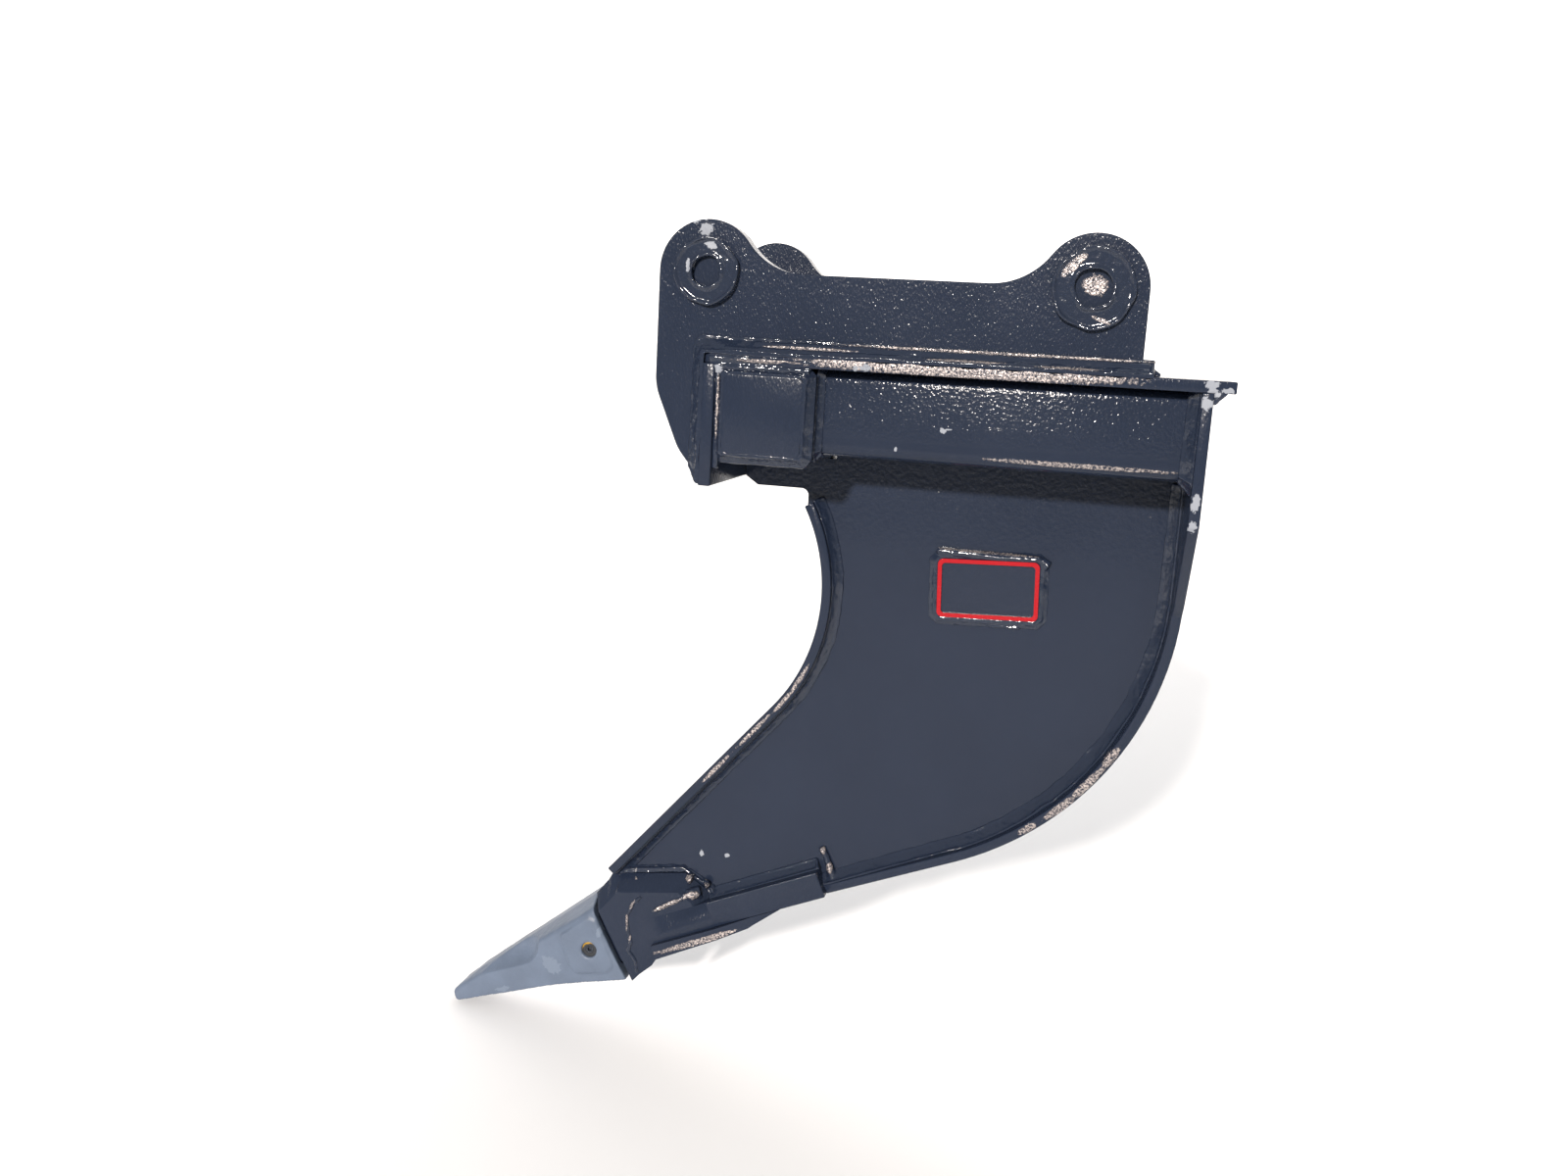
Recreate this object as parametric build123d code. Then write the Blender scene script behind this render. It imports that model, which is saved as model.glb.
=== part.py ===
from build123d import *
import os
from math import atan2, cos, degrees, hypot, pi, radians, sin, tan

# Single-shank ripper for an excavator, on a fixed-pin quick-coupler hanger.
# Millimetres. Origin: centre of the front coupler pin, in the mid plane.
# +X runs from the tooth side to the rear, +Z is up, and the left side is -Y.

# ---------------------------------------------------------------- coupler hanger
PIN_D = 45.0                # coupler pins
PIN_SPACING = 430.0         # between the two pins
PIN_CLEARANCE = 0.15        # between a pin and its holes, all round
EAR_GAP = 290.0             # free width between the ears
EAR_T = 25.0                # ear plate
LOBE_R = 58.0               # ear round each pin
VALLEY_R = 80.0             # hollow curve beside each lobe
VALLEY_Z = 1.0              # top edge of an ear between the lobes
EAR_KNEE_Z = -132.0         # where an ear's front edge turns rearward
EAR_SHIN = (-28.0, -203.0)  # second corner of that edge
EAR_KNEE_R = 60.0
EAR_EDGE = 1.5              # chamfer round its outer face
FRONT_RING = (-3.5, 13.5)   # weld rings from the pin's edge: how far inwards and outwards they lie
REAR_RING = (-0.5, 19.5)
RING_H = 7.0

# ---------------------------------------------------------------- head frame
DECK_Z = -89.0              # top of the top plate
DECK_T = 13.0
HEAD_X = 3.0                # front end of the top plate
HEAD_LEDGE = 15.0           # top plate beside each ear
DECK_OVERHANG = 22.0        # top plate behind the back strap
FRONT_T = 15.0              # front plate
FRONT_H = 141.0
EAR_TOE_GAP = 3.0           # ear toe above the front plate's lower edge
CROSS_W = 116.0             # cross tube, along X
CROSS_H = 112.0
CROSS_R = 16.0
TUBE_WALL = 8.0
CAP_T = 10.0
CAP_INSET = 10.0
SIDE_TUBE = 98.0            # side tubes, square section
SIDE_TUBE_R = 14.0
SIDE_TUBE_INSET = 25.0      # side tubes from the top plate's edges
EAR_WELD_LIP = 1.0          # edge of the ear's weld, standing at the top plate's edge
EAR_INNER_LEG = 8.0         # weld legs
TUBE_FRONT_LEG = 8.0
TUBE_REAR_LEG = 13.0
DECK_LEG = 12.0

# ---------------------------------------------------------------- shank
WEB_T = 50.0
STRAP_X = 551.0             # inner face of the back strap
STRAP_T = 12.0
STRAP_BEND_Z = -338.0       # where the strap starts to bend
STRAP_BEND_R = 395.0        # to its inner face
STRAP_FOOT_L = 177.0        # straight foot beyond the bend
STRAP_SHOULDER_H = 143.0    # full width down to this far below the top plate
STRAP_WAIST_DROP = 22.0     # end of its slanted shoulders, below the start of the bend
STRAP_WAIST_W = 164.0
STRAP_HEEL_W = 76.0
STRAP_BULGE = 5.0           # how far its long edges bow outwards
STRAP_LEG = 13.0
TOE_ANGLE = 24.0            # foot, lip plate and tooth, below the horizontal
NOTCH_DROP = 10.5           # web's lower edge in front of the flange, below the front plate
NOTCH_R = 9.0
NOTCH_CHAMFER = 16.0
FLANGE_T = 12.0
FLANGE_W = 90.0
FLANGE_HEAD = (82.4, 20.5)  # its upper end, behind the front plate and below the notch
FLANGE_HEAD_ANGLE = 28.6    # rise of that end's face, from level
FLANGE_SHIN_ANGLE = 25.6    # how much steeper its straight shin is than the toe
FLANGE_FOOT = (35.1, 115.5)  # its lower end, behind the collar's top and above the sole line
FLANGE_LEG = 11.0

# ---------------------------------------------------------------- toe
LIP_T = 35.0
LIP_W = 102.0
LIP_LEG = 11.0
LIP_REACH = 115.0           # lip plate inside the adapter's jaw
ADAPTER_W = 102.0
LEG_U = 160.0               # rear end of the adapter's upper leg
ADAPTER_L = 156.0           # from there to the top of the collar
LEG_HEEL = (2.0, 13.0)      # its blunt rear end, forward and above the lip plate
LEG_SHOULDER = (22.0, 41.0)  # where the steep slope behind ends
LEG_CREST = (51.0, 64.0)    # end of its long slope, behind the collar and above the lip plate
LEG_LEDGE = 6.0             # flat roof on each side of the web
LEG_ROOF_DROP = 20.0        # height of the slopes beside it
RAMP = ((34.0, 105.0), (24.0, 97.0), (11.0, 90.0))   # down to the collar, behind it and above the sole line
COLLAR_TOP = 84.0
COLLAR_FOOT = 43.0          # below the sole line
COLLAR_LEAN = 12.0          # how far its foot lies further back
HEEL = ((14.0, 36.5), (36.0, 29.0))   # corners behind the collar's foot and below the sole line
SOLE_BACK = (49.0, 19.5)    # where the heel meets the long sole
SOLE_TAIL = 95.0            # lower leg behind the upper one
SOLE_TOE = (51.0, 13.0)     # end of the tail's slope, ahead of its tip and below the sole line
SOLE_W = 120.0
SOLE_TIP_W = 84.0
SOLE_TOE_W = 106.0
TOE_LEG = 9.0
NOSE_L = 92.0
NOSE_ROOT = (76.0, 92.0)    # width and height of the nose at the collar
NOSE_TIP = (52.0, 36.0)
NOSE_ROOT_V = 20.0          # height of the nose's middle at the collar
NOSE_TIP_V = 13.0
NOSE_CHAMFER = 7.0
NOSE_CLEARANCE = 1.0
TOOTH_GAP = 6.0             # between the collar and the tooth
TOOTH_L = 270.0
TOOTH_BACK_V = 80.0         # top of its rear edge
TOOTH_FOOT_V = 40.0         # foot of that edge, below the sole line
TOOTH_BACK_BOW = 2.0
TOOTH_BROW = (51.0, 20.0)   # where the top bends down to the tip, behind it and above the sole line
TOOTH_W = 100.0
TOOTH_TIP_W = 54.0
TOOTH_TIP_T = 17.5
TOOTH_TIP_V = 14.5          # sole at the tip, below the sole line
TOOTH_TIP_CHAMFER = 3.0
TOOTH_SOLE = (122.0, 21.0)  # end of the straight sole, behind the tip and below the sole line
TOOTH_SOLE_BOW = 3.0
TOOTH_PARALLEL = 34.0       # parallel sides ahead of the collar
TOOTH_ROOF_W = 30.0         # flat crown of the tooth
TOOTH_ROOF_LEAN = 19.0      # slopes beside the crown, from level
TOOTH_EDGE_R = 9.0
PAD_T = 2.0                 # raised pad round the socket
PAD_L = 62.0
PAD_R = 12.0
SCOOP_R = 45.0              # hollow in each shoulder of the blade
SCOOP_OUT = 20.5            # its axis outside the flank
SCOOP_V = 55.0
SCOOP_U = 130.0             # its rear end behind the tip

# ---------------------------------------------------------------- tooth lock
LOCK_AHEAD = 33.0           # ahead of the collar
LOCK_V = 14.5
LOCK_HOLE_D = 22.0
LOCK_STEM_D = 11.0
LOCK_COLLAR_D = 20.0
LOCK_COLLAR_T = 2.2
LOCK_RECESS = 4.0           # sleeve below the pad's face
LOCK_SLEEVE_L = 7.0
LOCK_PLAY = 0.3
TONGUE_T = 5.5
TONGUE_W = 13.0
TONGUE_L = 7.0
HEX_AF = 6.0
HEX_DEPTH = 3.0

# ---------------------------------------------------------------- name plate
PLATE_X = 334.0
PLATE_Z = -359.5
PLATE_W = 124.0
PLATE_H = 73.0
PLATE_T = 3.0
PLATE_RIM_W = 5.0
PLATE_RIM_H = 3.0
PLATE_R = 7.0
PLATE_TURN = 2.6            # it sits a little askew
PLATE_LEG = 11.0
PLATE_BEAD_H = 4.0

# ---------------------------------------------------------------- derived places
EAR_IN = EAR_GAP / 2
EAR_OUT = EAR_IN + EAR_T
EAR_LEG = HEAD_LEDGE + EAR_WELD_LIP
EAR_REAR_X = PIN_SPACING + LOBE_R
HEAD_Y = EAR_OUT + HEAD_LEDGE
HEAD_END = STRAP_X + STRAP_T + DECK_OVERHANG
DECK_UNDER = DECK_Z - DECK_T
FRONT_FOOT_Z = DECK_UNDER - FRONT_H
CROSS_X0 = HEAD_X + FRONT_T
CROSS_X1 = CROSS_X0 + CROSS_W
CROSS_FOOT_Z = DECK_UNDER - CROSS_H
SIDE_TUBE_MIDDLE = (SIDE_TUBE / 2 + SIDE_TUBE_INSET - HEAD_Y, DECK_UNDER - SIDE_TUBE / 2)
WEB_Y = WEB_T / 2
STRAP_OUT_R = STRAP_BEND_R + STRAP_T
STRAP_C = (STRAP_X - STRAP_BEND_R, STRAP_BEND_Z)
BEND_TURN = 90.0 - TOE_ANGLE
COLLAR_U = LEG_U + ADAPTER_L
FOOT_U = COLLAR_U - COLLAR_LEAN
LIP_L = LEG_U + LIP_REACH
SOLE_U = LEG_U - SOLE_TAIL
TOOTH_BACK_U = COLLAR_U + TOOTH_GAP
TOOTH_TIP_U = TOOTH_BACK_U + TOOTH_L
TOOTH_FACE = TOOTH_W / 2 + PAD_T
LOCK_U = COLLAR_U + LOCK_AHEAD

# unit directions of the toe: U forward and down, V up from the sole
UX, UZ = -cos(radians(TOE_ANGLE)), -sin(radians(TOE_ANGLE))
VX, VZ = UZ, -UX
FOOT_X = STRAP_C[0] + STRAP_OUT_R * cos(radians(BEND_TURN)) + STRAP_FOOT_L * UX
FOOT_Z = STRAP_C[1] - STRAP_OUT_R * sin(radians(BEND_TURN)) + STRAP_FOOT_L * UZ


def toe(u, v):
    """Side-view place (X, Z) of a point u forward and v up from the strap's rear lower end."""
    return (FOOT_X + u * UX + v * VX, FOOT_Z + u * UZ + v * VZ)


def toe_plane(u, v=0.0):
    """Plane across the toe: its x runs to the left side, its y runs along V."""
    x, z = toe(u, v)
    return Plane(origin=(x, 0, z), x_dir=(0, -1, 0), z_dir=(UX, 0, UZ))


def toe_plan():
    """Plane along the toe: its x runs along U, its y across, and it looks along V."""
    return Plane(origin=(FOOT_X, 0, FOOT_Z), x_dir=(UX, 0, UZ), z_dir=(VX, 0, VZ))


def at_y(y):
    """Side-view plane at Y = y, seen from the left: x is X, y is Z, and it rises towards -Y."""
    return Plane(origin=(0, y, 0), x_dir=(1, 0, 0), z_dir=(0, -1, 0))


def slab(outline, y0, y1):
    """Plate with a side-view outline, from Y = y0 to Y = y1."""
    return extrude(at_y(max(y0, y1)) * outline, amount=abs(y1 - y0))


def frustum(outline, y, height, lean=45.0):
    """Bead on the left side: an outline at Y = y that draws in as it rises towards -Y."""
    return extrude(at_y(y) * outline, amount=height, taper=lean)


def hip(outline, y, height, lean):
    """Straight-edged block on the left side, each of its walls a flat slope that leans inwards."""
    block = extrude(at_y(y) * outline, amount=height)
    walls = [face for face in block.faces() if abs(face.normal_at().Y) < 0.5]
    return draft(walls, Plane(origin=(0, y, 0), z_dir=(0, -1, 0)), lean)


def cut_corners(width, height, corner):
    """Rectangle with its corners cut off, as a run of weld turns them."""
    return chamfer(Rectangle(width, height).vertices(), corner)


def box(x0, x1, y0, y1, z0, z1):
    corner = Align.MIN
    return Pos(x0, y0, z0) * Box(x1 - x0, y1 - y0, z1 - z0, align=(corner, corner, corner))


def polygon(*points):
    return make_face(Polyline(*points, close=True))


def to_right(shape):
    """The same piece on the right side."""
    return mirror(shape, about=Plane.XZ)


def on_circle(centre, radius, angle):
    """Point on a circle, its angle in degrees above the +X direction."""
    return (centre[0] + radius * cos(radians(angle)), centre[1] + radius * sin(radians(angle)))


def corner_bead(path, leg, normal):
    """Left fillet weld with equal legs along a side-view path on the web's left face."""
    start = path @ 0
    section = make_face(Polyline(
        start,
        start + Vector(normal[0], 0, normal[1]) * leg,
        start + Vector(0, -leg, 0),
        close=True))
    return sweep(section, path=path)


# ---------------------------------------------------------------- coupler hanger
def ear_outline():
    """Two lobes, a hollow top between them, and a front edge that runs down to the front plate."""
    reach = LOBE_R + VALLEY_R
    dip = VALLEY_Z + VALLEY_R
    valley_x = (reach ** 2 - dip ** 2) ** 0.5
    turn = degrees(atan2(valley_x, dip))
    rear_lobe = JernArc((EAR_REAR_X, 0), (0, 1), LOBE_R, 90 + turn)
    rear_hollow = JernArc(rear_lobe @ 1, rear_lobe % 1, VALLEY_R, -turn)
    valley = Line(rear_hollow @ 1, (valley_x, VALLEY_Z))
    front_hollow = JernArc(valley @ 1, valley % 1, VALLEY_R, -turn)
    front_lobe = JernArc(front_hollow @ 1, front_hollow % 1, LOBE_R, 90 + turn)
    ear_toe = (HEAD_X, FRONT_FOOT_Z + EAR_TOE_GAP)
    shin = FilletPolyline(front_lobe @ 1, (-LOBE_R, EAR_KNEE_Z), EAR_SHIN, ear_toe, radius=EAR_KNEE_R)
    foot = Polyline(ear_toe, (HEAD_X, DECK_Z), (EAR_REAR_X, DECK_Z), (EAR_REAR_X, 0))
    return make_face([rear_lobe, rear_hollow, valley, front_hollow, front_lobe, shin, foot])


def ear_left():
    plate = slab(ear_outline(), -EAR_IN, -EAR_OUT)
    plate = chamfer(plate.faces().sort_by(Axis.Y)[0].edges(), EAR_EDGE)
    hole = Circle(PIN_D / 2 + PIN_CLEARANCE)
    holes = slab(hole, -EAR_IN, -EAR_OUT) + slab(Pos(PIN_SPACING, 0) * hole, -EAR_IN, -EAR_OUT)
    return plate - holes


def coupler_pin(x):
    return slab(Pos(x, 0) * Circle(PIN_D / 2), EAR_OUT, -EAR_OUT)


def pin_ring_left(x, ring):
    """Raised weld round a pin's end, lying on the ear and on the rim of the pin."""
    inner, outer = PIN_D / 2 + ring[0], PIN_D / 2 + ring[1]
    return slab(Pos(x, 0) * (Circle(outer) - Circle(inner)), -EAR_OUT, -EAR_OUT - RING_H)


def ear_bead(y, leg, height):
    """Fillet along an ear's foot: over the top plate and down the front plate's face."""
    far = EAR_REAR_X + 3 * leg
    low = FRONT_FOOT_Z - 3 * leg
    outline = polygon(
        (HEAD_X - leg, low), (HEAD_X - leg, DECK_Z + leg), (far, DECK_Z + leg), (far, low))
    outline = fillet(outline.vertices().sort_by(Axis.X)[:2].sort_by(Axis.Y)[-1], leg)
    bead = frustum(outline, y, height)
    bead -= box(HEAD_X, far + leg, y - height - 1, y + 1, low - leg, DECK_Z)
    return bead - box(HEAD_X - 2 * leg, HEAD_X, y - height - 1, y + 1, low - leg, FRONT_FOOT_Z)


def ear_weld_left():
    """Outer and inner fillets of one ear, with a return behind its rear edge."""
    rear = EAR_REAR_X + EAR_LEG * 0.7
    ahead = HEAD_X - 2 * EAR_LEG
    behind = rear + 3 * EAR_LEG
    outer = ear_bead(-EAR_OUT, EAR_LEG, HEAD_Y - EAR_OUT)
    outer -= box(rear, behind + EAR_LEG, -HEAD_Y - 1, -EAR_OUT + 1, DECK_Z - 1, DECK_Z + 2 * EAR_LEG)
    rear_leg = rear - EAR_REAR_X
    tail = Plane.XZ * polygon((EAR_REAR_X, DECK_Z), (rear, DECK_Z), (EAR_REAR_X, DECK_Z + rear_leg))
    tail = Pos(0, -EAR_IN, 0) * extrude(tail, amount=EAR_T)
    inner = mirror(ear_bead(0, EAR_INNER_LEG, EAR_INNER_LEG), about=Plane.XZ)
    inner = Pos(0, -EAR_IN, 0) * inner
    inner -= box(EAR_REAR_X, behind, -EAR_IN - 1, 0, DECK_Z - 1, DECK_Z + 2 * EAR_LEG)
    toe_cut = ear_toe_waste(ahead)
    return Compound(children=[*(outer - toe_cut).solids(), *tail.solids(), *(inner - toe_cut).solids()])


def ear_toe_waste(ahead):
    """What lies in front of the ear's slanted toe, where no weld can lie."""
    toe_z = FRONT_FOOT_Z + EAR_TOE_GAP
    slope = (HEAD_X - EAR_SHIN[0]) / (toe_z - EAR_SHIN[1])
    top = toe_z + (ahead - HEAD_X) / slope
    return slab(polygon((HEAD_X, toe_z), (ahead, top), (ahead, toe_z - EAR_LEG), (HEAD_X, toe_z - EAR_LEG)),
                HEAD_Y + 1, -HEAD_Y - 1)


# ---------------------------------------------------------------- head frame
def top_plate():
    return box(HEAD_X, HEAD_END, -HEAD_Y, HEAD_Y, DECK_UNDER, DECK_Z)


def front_plate():
    return box(HEAD_X, CROSS_X0, -HEAD_Y, HEAD_Y, FRONT_FOOT_Z, DECK_UNDER)


def tube_section(width, height, radius):
    return RectangleRounded(width, height, radius) - RectangleRounded(
        width - 2 * TUBE_WALL, height - 2 * TUBE_WALL, radius - TUBE_WALL)


def cross_middle():
    return Pos((CROSS_X0 + CROSS_X1) / 2, (DECK_UNDER + CROSS_FOOT_Z) / 2)


def cross_tube():
    section = cross_middle() * tube_section(CROSS_W, CROSS_H, CROSS_R)
    return slab(section, HEAD_Y - CAP_T, CAP_T - HEAD_Y)


def tube_cap_left():
    width, height = CROSS_W - 2 * CAP_INSET, CROSS_H - 2 * CAP_INSET
    cap = cross_middle() * RectangleRounded(width, height, CROSS_R - TUBE_WALL)
    return slab(cap, CAP_T - HEAD_Y, -HEAD_Y)


def cap_weld_left():
    """Ring of weld that fills the step between the cap and the tube's outline."""
    outline = cross_middle() * cut_corners(CROSS_W, CROSS_H, CROSS_R - TUBE_WALL)
    return hip(outline, CAP_T - HEAD_Y, CAP_T, 45.0) - tube_cap_left()


def side_tube_left():
    section = tube_section(SIDE_TUBE, SIDE_TUBE, SIDE_TUBE_R)
    y, z = SIDE_TUBE_MIDDLE
    place = Plane(origin=(CROSS_X1, y, z), x_dir=(0, 1, 0), z_dir=(1, 0, 0))
    return extrude(place * section, amount=STRAP_X - CROSS_X1)


def tube_end_bead(leg):
    """Fillet round the end of a side tube, standing on the plane that the tube meets."""
    side = SIDE_TUBE + 2 * leg
    block = extrude(cut_corners(side, side, (SIDE_TUBE_R + leg) / 2), amount=leg)
    walls = [face for face in block.faces() if abs(face.normal_at().Z) < 0.5]
    bead = draft(walls, Plane.XY, 45.0)
    return bead - extrude(RectangleRounded(SIDE_TUBE, SIDE_TUBE, SIDE_TUBE_R), amount=leg)


def tube_weld_left():
    """Welds of one side tube to the cross tube in front and to the back strap behind."""
    y, z = SIDE_TUBE_MIDDLE
    front = Plane(origin=(CROSS_X1, y, z), x_dir=(0, 1, 0), z_dir=(1, 0, 0)) * tube_end_bead(TUBE_FRONT_LEG)
    rear = Plane(origin=(STRAP_X, y, z), x_dir=(0, -1, 0), z_dir=(-1, 0, 0)) * tube_end_bead(TUBE_REAR_LEG)
    above = box(CROSS_X1, STRAP_X, -HEAD_Y, 0, DECK_UNDER, DECK_Z + TUBE_REAR_LEG)
    parts = [*(front - above).solids(), *(rear - above).solids()]
    return Compound(children=parts)


def deck_weld():
    """Fillet under the top plate's overhang, on the back strap's outer face."""
    x = STRAP_X + STRAP_T
    section = polygon((x, DECK_UNDER), (x + DECK_LEG, DECK_UNDER), (x, DECK_UNDER - DECK_LEG))
    return slab(section, HEAD_Y - EAR_EDGE, EAR_EDGE - HEAD_Y)


# ---------------------------------------------------------------- shank
def strap_edge(radius):
    """Side-view line of the back strap at a bend radius, from the top plate to its foot."""
    x = STRAP_C[0] + radius
    down = Line((x, DECK_UNDER), (x, STRAP_BEND_Z))
    bend = JernArc((x, STRAP_BEND_Z), (0, -1), radius, -BEND_TURN)
    foot = Line(bend @ 1, bend @ 1 + Vector(UX, UZ) * STRAP_FOOT_L)
    return [down, bend, foot]


def strap_outline():
    """Width of the strap from behind: broad at the head, then a long taper to the foot."""
    waist = (STRAP_WAIST_W / 2, STRAP_BEND_Z - STRAP_WAIST_DROP)
    heel = (STRAP_HEEL_W / 2, FOOT_Z)
    bow = ((waist[0] + heel[0]) / 2 + STRAP_BULGE, (waist[1] + heel[1]) / 2)
    low = (heel[0], FOOT_Z - STRAP_T)
    head = (HEAD_Y, DECK_UNDER + 1)
    edge = [Line((0, head[1]), head), Line(head, (HEAD_Y, DECK_UNDER - STRAP_SHOULDER_H)),
            Line((HEAD_Y, DECK_UNDER - STRAP_SHOULDER_H), waist), ThreePointArc(waist, bow, heel),
            Line(heel, low), Line(low, (0, low[1]))]
    half = make_face([*edge, Line((0, low[1]), (0, head[1]))])
    return half + mirror(half, about=Plane.YZ)


def back_strap():
    """One bent plate, cut to its tapering width."""
    inner, outer = strap_edge(STRAP_BEND_R), strap_edge(STRAP_OUT_R)
    head = Line(inner[0] @ 0, outer[0] @ 0)
    heel = Line(inner[2] @ 1, outer[2] @ 1)
    plate = slab(make_face([*inner, *outer, head, heel]), HEAD_Y, -HEAD_Y)
    width = extrude(Plane.YZ * strap_outline(), amount=STRAP_C[0] + 2 * STRAP_OUT_R)
    return plate & width


def flange_edge(depth):
    """Side-view line at a depth below the front flange's outer face: a curve, then a straight shin.

    It leaves its head square to that end, and its shin runs into its foot on the adapter.
    """
    drop = radians(TOE_ANGLE + FLANGE_SHIN_ANGLE)
    rise = radians(FLANGE_HEAD_ANGLE)
    head = Vector(CROSS_X0 + FLANGE_HEAD[0], FRONT_FOOT_Z - NOTCH_DROP - FLANGE_HEAD[1])
    foot = Vector(*toe(COLLAR_U - FLANGE_FOOT[0], FLANGE_FOOT[1]))
    start = Vector(sin(rise), -cos(rise))
    shin = Vector(-cos(drop), -sin(drop))
    turn = pi / 2 - drop + rise
    tangent = (foot - head).cross(shin).Z / start.cross(shin).Z
    radius = tangent / tan(turn / 2)
    curve = JernArc(head - start.rotate(Axis.Z, -90) * depth, start, radius + depth, -degrees(turn))
    length = start.cross(foot - head).Z / start.cross(shin).Z - tangent
    return [curve, Line(curve @ 1, curve @ 1 + shin * length)]


def front_flange():
    outer, inner = flange_edge(0), flange_edge(FLANGE_T)
    ends = [Line(outer[0] @ 0, inner[0] @ 0), Line(outer[1] @ 1, inner[1] @ 1)]
    return slab(make_face([*outer, *inner, *ends]), FLANGE_W / 2, -FLANGE_W / 2)


def leg_roof():
    """Top line of the adapter's upper leg, from its rear end to the front flange."""
    tip = flange_edge(FLANGE_T)[1] @ 1
    return [toe(LEG_U, LIP_T), toe(LEG_U + LEG_HEEL[0], LIP_T + LEG_HEEL[1]),
            toe(LEG_U + LEG_SHOULDER[0], LIP_T + LEG_SHOULDER[1]),
            toe(COLLAR_U - LEG_CREST[0], LIP_T + LEG_CREST[1]), (tip.X, tip.Y)]


def web():
    """Shank plate: fitted round the cross tube, between the strap and the flange, on the lip plate."""
    back = strap_edge(STRAP_BEND_R)
    front = flange_edge(FLANGE_T)
    flange_top = flange_edge(0)[0] @ 0
    notch_z = FRONT_FOOT_Z - NOTCH_DROP
    notch_x = CROSS_X0 + NOTCH_CHAMFER
    sole = Polyline(back[2] @ 1, toe(0, LIP_T), *leg_roof())
    notch = FilletPolyline(
        (flange_top.X, flange_top.Y), (flange_top.X, notch_z), (notch_x, notch_z), radius=NOTCH_R)
    head = Polyline(
        (notch_x, notch_z), (CROSS_X0, FRONT_FOOT_Z), (CROSS_X0, CROSS_FOOT_Z),
        (CROSS_X1, CROSS_FOOT_Z), (CROSS_X1, DECK_UNDER), back[0] @ 0)
    step = Line(front[0] @ 0, flange_top)
    return slab(make_face([*back, sole, *front, step, notch, head]), WEB_Y, -WEB_Y)


def to_web_face(edge):
    return at_y(-WEB_Y) * edge


def flange_weld_left():
    curve, straight = flange_edge(FLANGE_T)
    path = Wire([to_web_face(curve).edge(), to_web_face(straight).edge()])
    inward = (cos(radians(FLANGE_HEAD_ANGLE)), sin(radians(FLANGE_HEAD_ANGLE)))
    return corner_bead(path, FLANGE_LEG, inward) - adapter_body()


def strap_weld_left():
    x = STRAP_X
    start = (x, DECK_UNDER - SIDE_TUBE - TUBE_REAR_LEG)
    down = Line(start, (x, STRAP_BEND_Z))
    _, bend, foot = strap_edge(STRAP_BEND_R)
    path = Wire([to_web_face(line).edge() for line in (down, bend, foot)])
    return corner_bead(path, STRAP_LEG, (-1, 0))


# ---------------------------------------------------------------- toe
def lip_plate():
    return slab(polygon(toe(0, 0), toe(0, LIP_T), toe(LIP_L, LIP_T), toe(LIP_L, 0)), LIP_W / 2, -LIP_W / 2)


def lip_weld_left():
    """Fillet between the web and the lip plate, behind the adapter's leg."""
    path = Wire([to_web_face(Line(toe(0, LIP_T), toe(LEG_U, LIP_T))).edge()])
    return corner_bead(path, LIP_LEG, (VX, VZ)) - adapter_body()


def ramp():
    """Corners from the front flange's end down to the top of the collar."""
    return [*[toe(COLLAR_U - back, up) for back, up in RAMP], toe(COLLAR_U, COLLAR_TOP)]


def adapter_outline():
    """Casting from the side: upper leg, ramp, leaning collar, heel and long tapering sole."""
    heel = [toe(FOOT_U, -COLLAR_FOOT), *[toe(FOOT_U - back, -down) for back, down in HEEL],
            toe(FOOT_U - SOLE_BACK[0], -SOLE_BACK[1])]
    tail = [toe(SOLE_U + SOLE_TOE[0], -SOLE_TOE[1]), toe(SOLE_U, 0)]
    return polygon(*leg_roof(), *ramp(), *heel, *tail, toe(LEG_U, 0))


def adapter_roof():
    """Space under the roof of the upper leg: a flat top and a slope on each side."""
    half = WEB_Y + LEG_LEDGE
    ahead, below = COLLAR_U + 2 * ADAPTER_W, -2 * COLLAR_FOOT
    fall = toe(ahead, COLLAR_TOP - ADAPTER_W)
    region = polygon(*leg_roof(), *ramp()[:-1], fall, toe(ahead, below), toe(LEG_U, below))
    slope = frustum(region, -half, LEG_ROOF_DROP)
    return slab(region, half, -half) + slope + to_right(slope)


def adapter_body():
    """Upper leg and collar under their sloping roof, and the lower jaw at full width."""
    blank = slab(adapter_outline(), ADAPTER_W / 2, -ADAPTER_W / 2)
    ahead = COLLAR_U + ADAPTER_W
    under = polygon(toe(0, 0), toe(ahead, 0), toe(ahead, -ADAPTER_W), toe(0, -ADAPTER_W))
    return (blank & adapter_roof()) + (blank & slab(under, ADAPTER_W, -ADAPTER_W))


def nose(grow, front, back):
    """Tapered nose of the adapter, or with grow its clearance in the tooth."""
    side, plan = [], []
    for u in (back, front):
        t = (u - FOOT_U) / (NOSE_L + COLLAR_LEAN)
        half_w = (NOSE_ROOT[0] + t * (NOSE_TIP[0] - NOSE_ROOT[0])) / 2 + grow
        half_h = (NOSE_ROOT[1] + t * (NOSE_TIP[1] - NOSE_ROOT[1])) / 2 + grow
        middle = NOSE_ROOT_V + t * (NOSE_TIP_V - NOSE_ROOT_V)
        side.append((toe(u, middle - half_h), toe(u, middle + half_h)))
        plan.append(((u, -half_w), (u, half_w)))
    side = slab(polygon(*side[0], *reversed(side[1])), ADAPTER_W, -ADAPTER_W)
    plan = extrude(toe_plan() * polygon(*plan[0], *reversed(plan[1])), amount=2 * ADAPTER_W, both=True)
    body = side & plan
    long_edges = [edge for edge in body.edges() if abs((edge % 0.5).dot(Vector(UX, 0, UZ))) > 0.8]
    return chamfer(long_edges, NOSE_CHAMFER)


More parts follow.
